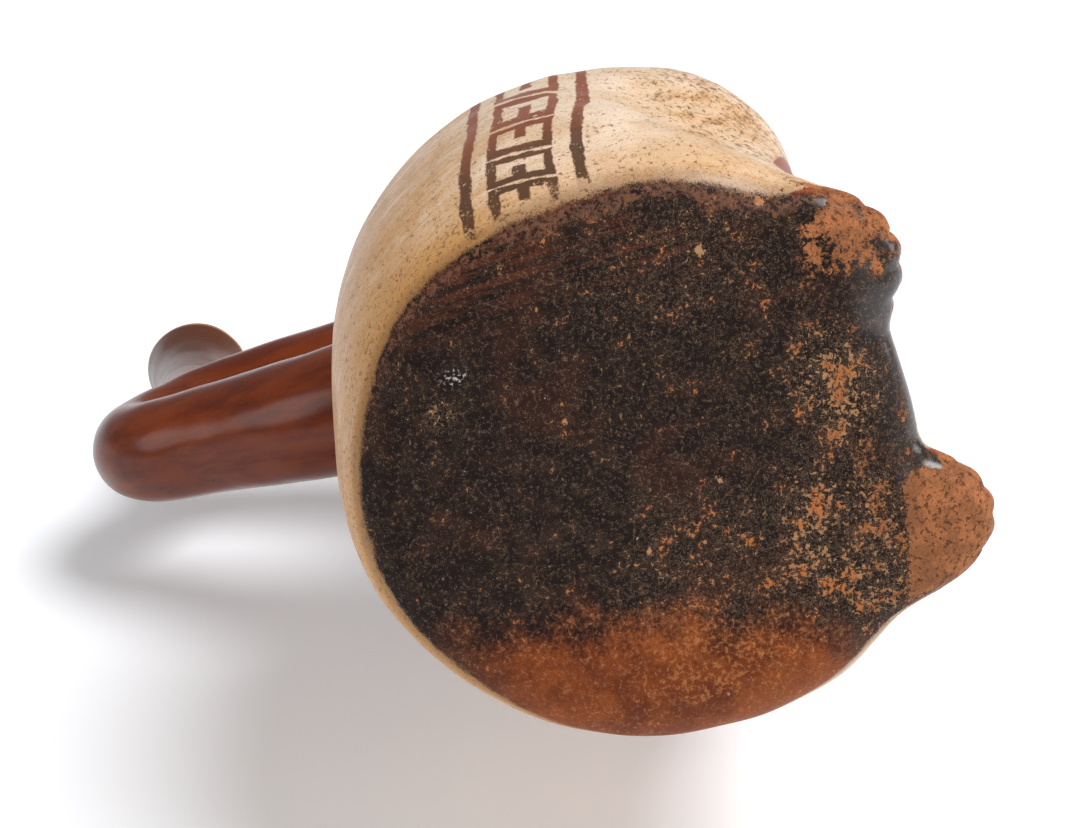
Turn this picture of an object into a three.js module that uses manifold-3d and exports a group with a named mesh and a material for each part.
// A fired clay bottle in the form of a seated figure, with a stirrup-shaped handle at its back.
// The figure, the handle and the spout are one hollow piece: the tube of the handle opens into the
// chamber twice, and the spout rises from its outer bend.
// Millimetres, +Z up, origin at the centre of the flat underside, the figure faces -Y.
import * as THREE from "three";
import { mergeVertices } from "three/addons/utils/BufferGeometryUtils.js";
import Module from "manifold-3d";

const wasm = await Module();
wasm.setup();

// footprint of the flat underside
const baseHalfWidth = 52;
const baseBack = 50.5;
const baseFront = 53.3;
const baseEdgeRound = 7;

// tunic: widest size of the body, how fast it flares from the base and where the shoulders begin;
// shaped by hand, it is a little fuller on the figure's right
const bodyHalfWidth = 66.8;
const rightFullness = 1;
const bodyBack = 57;
const bodyCentreY = -7.3;
const sideFlare = 15.4;
const backFlare = 11;
const hemBulge = 4.6;
const hemHeight = 11.6;
const lapRecess = 12;
const lapHeight = 49;
const shoulderStart = 69;
const shoulderRise = 51.15;

// knees under the tunic and the feet in front of it; right and left are not quite alike
const rightKnee = { x: -42.4, y: -28 };
const leftKnee = { x: 37.5, y: -24.5 };
const kneeZ = 67.9;
const kneeRadius = 17.4;
const footHeight = 14;
const rightFoot = { x: -25.8, y: -45, halfWidth: 15.4, halfLength: 17.4 };
const leftFoot = { x: 28.2, y: -48, halfWidth: 14.4, halfLength: 18.5 };
const toeDepth = 0.5;

// head, chin to crown; everything on it is a fraction of this height
const headHeight = 76;
const headY = -4;

// handle: heights of its two arms above the shoulders, its reach behind the body, and its lean
const armRadius = 13.4;
const bendRadius = 11.6;
const jointFlare = 1.7;
const lowerArmRise = 14.2;
const upperArmRise = 65.5;
const handleReach = 118;
const handleLean = 0.04;

// spout on the outer bend
const spoutY = 112.7;
const spoutTop = 127.1;
const spoutRadius = 10;
const mouthRadius = 14.1;
const lipThickness = 3;

// clay thickness of the body and of the tubes
const wall = 5;
const tubeWall = 4;

const neckZ = shoulderStart + 0.79 * shoulderRise;

// smooth union of two distances, rounded over about k, and the matching smooth intersection
const join = (a, b, k) => {
  const h = Math.max(k - Math.abs(a - b), 0) / k;
  return Math.min(a, b) - (h * h * k) / 4;
};
const trim = (a, b, k) => -join(-a, -b, k);

const ellipsoid = (p, c, r) => {
  const q = [0, 1, 2].map((i) => (p[i] - c[i]) / r[i]);
  const near = Math.hypot(...q);
  const slope = Math.hypot(...q.map((v, i) => v / r[i]));
  return (near * (near - 1)) / Math.max(slope, 1e-9);
};

// a rod with round ends, its radius changing from ra at a to rb at b
const limb = (p, a, b, ra, rb) => {
  const along = b.map((v, i) => v - a[i]);
  const length2 = along.reduce((sum, v) => sum + v * v, 0);
  const dot = along.reduce((sum, v, i) => sum + v * (p[i] - a[i]), 0);
  const t = THREE.MathUtils.clamp(dot / length2, 0, 1);
  return Math.hypot(...p.map((v, i) => v - a[i] - along[i] * t)) - (ra + (rb - ra) * t);
};

// the tunic: a rounded outline at every height, shrinking by `inset` for the inside of its wall
function bodyForm([x, y, z], inset = 0) {
  const up = Math.max(z, -2);
  const rise = THREE.MathUtils.clamp((up - shoulderStart) / shoulderRise, 0, 0.97);
  const shrink = Math.sqrt(1 - rise * rise);
  const halfWidth = bodyHalfWidth - (bodyHalfWidth - baseHalfWidth) * Math.exp(-up / sideFlare);
  const back = bodyBack - (bodyBack - baseBack) * Math.exp(-up / backFlare);
  const aboveHem = THREE.MathUtils.smoothstep(up, 8, 40);
  const onRight = x < 0 ? aboveHem : 0;
  const hem = Math.max(up / hemHeight, 0);
  const lap = THREE.MathUtils.smoothstep(up, 0, lapHeight);
  const front = baseFront + hemBulge * hem * Math.exp(1 - hem) - lapRecess * lap;
  const centre = bodyCentreY * shrink;
  const w = (halfWidth + rightFullness * onRight) * shrink - inset;
  const l = (y > centre ? back * shrink - centre : front * shrink + centre) - inset;
  const n = y > centre ? 2 + 0.2 * onRight : 2.35 - 0.25 * aboveHem;
  const q = (Math.abs(x / w) ** n + Math.abs((y - centre) / l) ** n) ** (1 / n);
  const above = Math.max(up - shoulderStart - 0.97 * shoulderRise + inset, 0);
  return (q - 1) * Math.min(w, l) + above;
}

// a point on the head, in fractions of its height from the middle of its underside
const onHead = (x, y, z) => [x * headHeight, headY + y * headHeight, neckZ + z * headHeight];
const headSizes = (...r) => r.map((v) => v * headHeight);

function headForm(p, inset = 0) {
  const skull = ellipsoid(p, onHead(0, 0, 0.579), headSizes(0.421, 0.474, 0.434).map((r) => r - inset));
  const jaw = ellipsoid(p, onHead(0, -0.092, 0.276), headSizes(0.329, 0.342, 0.29).map((r) => r - inset));
  const neck = limb(p, [0, 2, neckZ - 16], [0, -3, neckZ + 14], 27 - inset, 22 - inset);
  return join(join(skull, jaw, 14), neck, 12);
}

function faceAndHeaddress(p, start) {
  let d = start;
  for (const s of [-1, 1]) {
    d = join(d, ellipsoid(p, onHead(s * 0.197, -0.29, 0.368), headSizes(0.145, 0.145, 0.158)), 9);
    d = trim(d, -ellipsoid(p, onHead(s * 0.178, -0.526, 0.526), headSizes(0.125, 0.105, 0.086)), 6);
    d = join(d, ellipsoid(p, onHead(s * 0.171, -0.368, 0.52), headSizes(0.112, 0.092, 0.06)), 1.5);
    d = join(d, limb(p, onHead(s * 0.053, -0.454, 0.645), onHead(s * 0.29, -0.362, 0.638), 2.8, 2.2), 5);
    d = join(d, ellipsoid(p, onHead(s * 0.066, -0.467, 0.382), headSizes(0.053, 0.066, 0.045)), 3);
  }
  d = join(d, limb(p, onHead(0, -0.441, 0.605), onHead(0, -0.526, 0.401), 3, 4.8), 4);
  d = join(d, ellipsoid(p, onHead(0, -0.416, 0.253), headSizes(0.151, 0.06, 0.0355)), 2);
  d = join(d, ellipsoid(p, onHead(0, -0.405, 0.197), headSizes(0.125, 0.063, 0.038)), 2);
  d = join(d, ellipsoid(p, onHead(0, -0.342, 0.092), headSizes(0.132, 0.092, 0.092)), 8);
  for (const s of [-1, 1]) {
    d = join(d, ellipsoid(p, onHead(s * 0.4, 0.01, 0.42), headSizes(0.12, 0.155, 0.155)), 4);
  }
  const bandHeight = Math.abs(p[2] - neckZ - 0.79 * headHeight + 0.12 * (p[1] - headY));
  const around = ellipsoid(p, onHead(0, 0, 0.579), headSizes(0.463, 0.516, 0.474));
  return join(d, trim(around, bandHeight - 0.0855 * headHeight, 3), 2);
}

// a foot, its front edge scalloped into five toes
function foot(p, { x, y, halfWidth, halfLength }) {
  const across = (p[0] - x) / halfWidth;
  const forward = THREE.MathUtils.smoothstep(-(p[1] - y), 0.45 * halfLength, 0.9 * halfLength);
  const toes = toeDepth * forward * Math.abs(Math.cos(2.5 * Math.PI * across));
  return ellipsoid(p, [x, y, 5], [halfWidth, halfLength, footHeight]) - toes + 0.5 * toeDepth * forward;
}

// knees and shins under the tunic, and both feet
function legs(p, start) {
  let d = join(join(start, foot(p, rightFoot), 5), foot(p, leftFoot), 5);
  for (const { x, y } of [rightKnee, leftKnee]) {
    const s = Math.sign(x);
    d = join(d, ellipsoid(p, [x, y, kneeZ], [kneeRadius, kneeRadius + 1, kneeRadius + 1]), 14);
    d = join(d, limb(p, [x - s * 7, y - 6.5, kneeZ - 8], [s * 28, -40, 10], 15, 12), 12);
  }
  return d;
}

// arms close to the body, the hands laid on the knees
function arms(p, start) {
  let d = start;
  for (const { x, y } of [rightKnee, leftKnee]) {
    const s = Math.sign(x);
    const elbow = [s * 53, 4, kneeZ + 20];
    d = join(d, limb(p, [s * 38, 8, neckZ - 12], elbow, 11, 9), 6);
    d = join(d, limb(p, elbow, [x + s, y - 4.6, kneeZ + 14], 9, 6.5), 4);
    d = join(d, ellipsoid(p, [x - s * 3, y - 8, kneeZ + 11], [9.5, 12, 7.5]), 4);
  }
  return d;
}

// centre line of the handle: the lower arm leaves the shoulders, the upper arm the back of the head
const leanAt = (z) => handleLean * Math.max(z - neckZ - 15.6, 0);
const handlePoint = (y, z) => new THREE.Vector3(leanAt(z), y, z);
const lowerArm = neckZ + lowerArmRise;
const upperArm = neckZ + upperArmRise;
const bendZ = (lowerArm + upperArm) / 2 + 3.5;
const handleLine = [
  handlePoint(0.3 * bodyBack, lowerArm - 13.5),
  handlePoint(0.89 * bodyBack, lowerArm - 4.5),
  handlePoint(0.59 * handleReach, lowerArm),
  handlePoint(0.8 * handleReach, lowerArm + 10.6),
  handlePoint(0.95 * handleReach, (lowerArm + 10.6 + bendZ) / 2 - 1.5),
  handlePoint(handleReach, bendZ),
  handlePoint(0.94 * handleReach, (bendZ + upperArm) / 2 + 2),
  handlePoint(0.82 * handleReach, upperArm),
  handlePoint(0.55 * handleReach, upperArm),
  handlePoint(0.28 * handleReach, upperArm - 4.5),
  handlePoint(0.08 * handleReach, upperArm - 9.5),
];
const handleRadii = [
  armRadius + jointFlare + 1,
  armRadius + jointFlare + 1,
  armRadius + jointFlare,
  armRadius,
  (armRadius + bendRadius) / 2,
  bendRadius,
  bendRadius,
  bendRadius,
  bendRadius + 0.5,
  bendRadius + jointFlare,
  bendRadius + jointFlare,
];
const mouthZ = neckZ + spoutTop;
const spoutLine = [
  handlePoint(0.89 * handleReach, upperArm - 5),
  handlePoint(spoutY - 4, mouthZ - 41),
  handlePoint(spoutY - 2, mouthZ - 26),
  handlePoint(spoutY - 0.5, mouthZ - 12),
  handlePoint(spoutY, mouthZ),
];
const spoutRadii = [spoutRadius + 0.5, spoutRadius, spoutRadius, spoutRadius + 1.5, mouthRadius];

// clay drawn out around each end of the handle
function joints(p, start) {
  const low = limb(p, [0, 20, lowerArm - 12.5], [0, 50, lowerArm - 5.5], armRadius + 1.5, armRadius + 0.8);
  const high = limb(p, [2, 10, upperArm - 10], [2, 40, upperArm - 4], bendRadius, bendRadius - 0.6);
  return join(join(start, low, 10), high, 8);
}

const masses = (p) => join(legs(p, bodyForm(p)), headForm(p), 12);
const rough = (p) => trim(masses(p), -p[2], baseEdgeRound);
const outside = (p) => trim(joints(p, arms(p, faceAndHeaddress(p, masses(p)))), -p[2], baseEdgeRound);
const inside = (p) => trim(join(bodyForm(p, wall), headForm(p, wall), 6), wall - p[2], baseEdgeRound);

// profile of a plain turned form close to the figure, from the centre of the base to the crown
const turned = new THREE.SplineCurve(
  [
    [0, 0],
    [0.45 * baseHalfWidth, 0],
    [0.82 * baseHalfWidth, 0],
    [1.08 * baseHalfWidth, 1.5],
    [0.95 * bodyHalfWidth, 11],
    [1.02 * bodyHalfWidth, 30],
    [1.03 * bodyHalfWidth, 0.8 * shoulderStart],
    [0.98 * bodyHalfWidth, shoulderStart + 0.2 * shoulderRise],
    [0.8 * bodyHalfWidth, shoulderStart + 0.52 * shoulderRise],
    [0.56 * bodyHalfWidth, neckZ - 4],
    [0.4 * headHeight, neckZ + 0.06 * headHeight],
    [0.41 * headHeight, neckZ + 0.2 * headHeight],
    [0.48 * headHeight, neckZ + 0.42 * headHeight],
    [0.5 * headHeight, neckZ + 0.62 * headHeight],
    [0.42 * headHeight, neckZ + 0.83 * headHeight],
    [0.24 * headHeight, neckZ + 0.97 * headHeight],
    [0.08 * headHeight, neckZ + 1.01 * headHeight],
    [0, neckZ + 1.015 * headHeight],
  ].map(([r, z]) => new THREE.Vector2(r, z)),
);
turned.arcLengthDivisions = 800;

// share of the profile that a share of the rows has reached: few rows on the base, many on the head
function rowPlace(t) {
  if (t < 0.12) return (t / 0.12) * 0.19;
  if (t < 0.46) return 0.19 + ((t - 0.12) / 0.34) * 0.4;
  return 0.59 + ((t - 0.46) / 0.54) * 0.41;
}

// where a form is reached from a point, moving along a direction no further than the two limits
function reach(form, from, direction, least, most) {
  let move = 0;
  for (let step = 0; step < 24; step += 1) {
    const p = from.map((v, i) => v + move * direction[i]);
    move = THREE.MathUtils.clamp(move - 0.75 * form(p), least, most);
  }
  return from.map((v, i) => v + move * direction[i]);
}

// direction in which a form grows fastest
function slopeOf(form, p) {
  const steps = [0, 1, 2].map((axis) => {
    const [ahead, behind] = [1.5, -1.5].map((h) => form(p.map((v, i) => (i === axis ? v + h : v))));
    return ahead - behind;
  });
  const length = Math.hypot(...steps);
  return steps.map((v) => v / length);
}

// A closed skin: a turned form whose points slide along its normals onto a rough form, and from
// there along the rough form's own normals onto the finished one. Columns stand closer together at
// the front, where the face and the feet are.
function skin(roughForm, form, columns, rows, crowding) {
  const profile = Array.from({ length: rows + 1 }, (_, row) => turned.getPointAt(rowPlace(row / rows)));
  const geometry = new THREE.LatheGeometry(profile, columns).rotateX(Math.PI / 2);
  const { position, normal } = geometry.attributes;
  const axis = new THREE.Vector3(0, 0, 1);
  for (let i = 0; i < position.count; i += 1) {
    const turn = (2 * Math.PI * Math.floor(i / profile.length)) / columns;
    const from = new THREE.Vector3().fromBufferAttribute(position, i);
    const outward = new THREE.Vector3().fromBufferAttribute(normal, i);
    if (Math.hypot(from.x, from.y) < 0.001) outward.set(0, 0, Math.sign(outward.z));
    from.applyAxisAngle(axis, -crowding * Math.sin(turn));
    outward.applyAxisAngle(axis, -crowding * Math.sin(turn));
    const onRough = reach(roughForm, from.toArray(), outward.toArray(), -34, 30);
    position.setXYZ(i, ...reach(form, onRough, slopeOf(roughForm, onRough), -6, 12));
  }
  return geometry;
}

// A round bar: a cylinder of unit size bent along a line, with a radius that changes on the way.
// Its ends are flat, and a level end lies in one height.
function bar(line, radii, sides, steps, levelEnd = false) {
  const curve = new THREE.CatmullRomCurve3(line, false, "centripetal");
  const geometry = new THREE.CylinderGeometry(1, 1, 1, sides, steps);
  const { position } = geometry.attributes;
  for (let i = 0; i < position.count; i += 1) {
    const t = THREE.MathUtils.clamp(position.getY(i) + 0.5, 0, 1);
    const level = levelEnd && t > 0.9999;
    const place = t * (radii.length - 1);
    const k = Math.min(Math.floor(place), radii.length - 2);
    const radius = THREE.MathUtils.lerp(radii[k], radii[k + 1], place - k);
    const centre = curve.getPoint(t);
    const heading = level ? new THREE.Vector3(0, 0, 1) : curve.getTangent(t);
    const up = new THREE.Vector3().crossVectors(heading, new THREE.Vector3(1, 0, 0)).normalize();
    const side = new THREE.Vector3().crossVectors(up, heading).normalize();
    const p = centre.clone().addScaledVector(side, radius * position.getX(i));
    p.addScaledVector(up, -radius * position.getZ(i));
    position.setXYZ(i, p.x, p.y, level ? centre.z : p.z);
  }
  return geometry;
}

// a closed geometry as a solid, without the triangles that have no area at the poles
function solid(geometry) {
  geometry.deleteAttribute("normal");
  geometry.deleteAttribute("uv");
  const welded = mergeVertices(geometry, 1e-4);
  const corners = welded.index.array;
  const kept = [];
  for (let i = 0; i < corners.length; i += 3) {
    const [a, b, c] = [corners[i], corners[i + 1], corners[i + 2]];
    if (a !== b && b !== c && c !== a) kept.push(a, b, c);
  }
  const vertProperties = new Float32Array(welded.attributes.position.array);
  return new wasm.Manifold(new wasm.Mesh({ numProp: 3, vertProperties, triVerts: new Uint32Array(kept) }));
}

// the outside of the bottle as one solid, then its chamber and the channels of handle and spout
function vesselGeometry() {
  const figure = solid(skin(rough, outside, 66, 50, 0.5));
  const handle = solid(bar(handleLine, handleRadii, 16, 32));
  const spout = solid(bar(spoutLine, spoutRadii, 16, 8, true));
  const chamber = solid(skin(inside, inside, 20, 17, 0.2));
  const channel = solid(bar(handleLine, handleRadii.map((r) => r - tubeWall), 8, 22));
  const throatRadii = spoutRadii.map((r, i) => (i < 4 ? r - tubeWall : mouthRadius - lipThickness));
  const overMouth = spoutLine.at(-1).clone().setZ(mouthZ + 4);
  const throat = solid(bar([...spoutLine, overMouth], [...throatRadii, mouthRadius - lipThickness], 16, 9, true));
  const clay = figure.add(handle).add(spout);
  const hollow = clay.subtract(chamber).subtract(channel).subtract(throat);
  const mesh = hollow.getMesh();
  const geometry = new THREE.BufferGeometry();
  const positions = new Float32Array(mesh.numVert * 3);
  for (let i = 0; i < mesh.numVert; i += 1) {
    for (let axis = 0; axis < 3; axis += 1) {
      positions[3 * i + axis] = mesh.vertProperties[i * mesh.numProp + axis];
    }
  }
  geometry.setAttribute("position", new THREE.BufferAttribute(positions, 3));
  geometry.setIndex(new THREE.BufferAttribute(new Uint32Array(mesh.triVerts), 1));
  geometry.computeVertexNormals();
  return geometry;
}

const slippedClay = () => new THREE.MeshStandardMaterial({ color: 0xcaa67e, roughness: 0.48, metalness: 0 });

const root = new THREE.Group();
root.name = "stirrup_spout_vessel";
const vessel = new THREE.Mesh(vesselGeometry(), slippedClay());
vessel.name = "vessel";
root.add(vessel);

export default root;
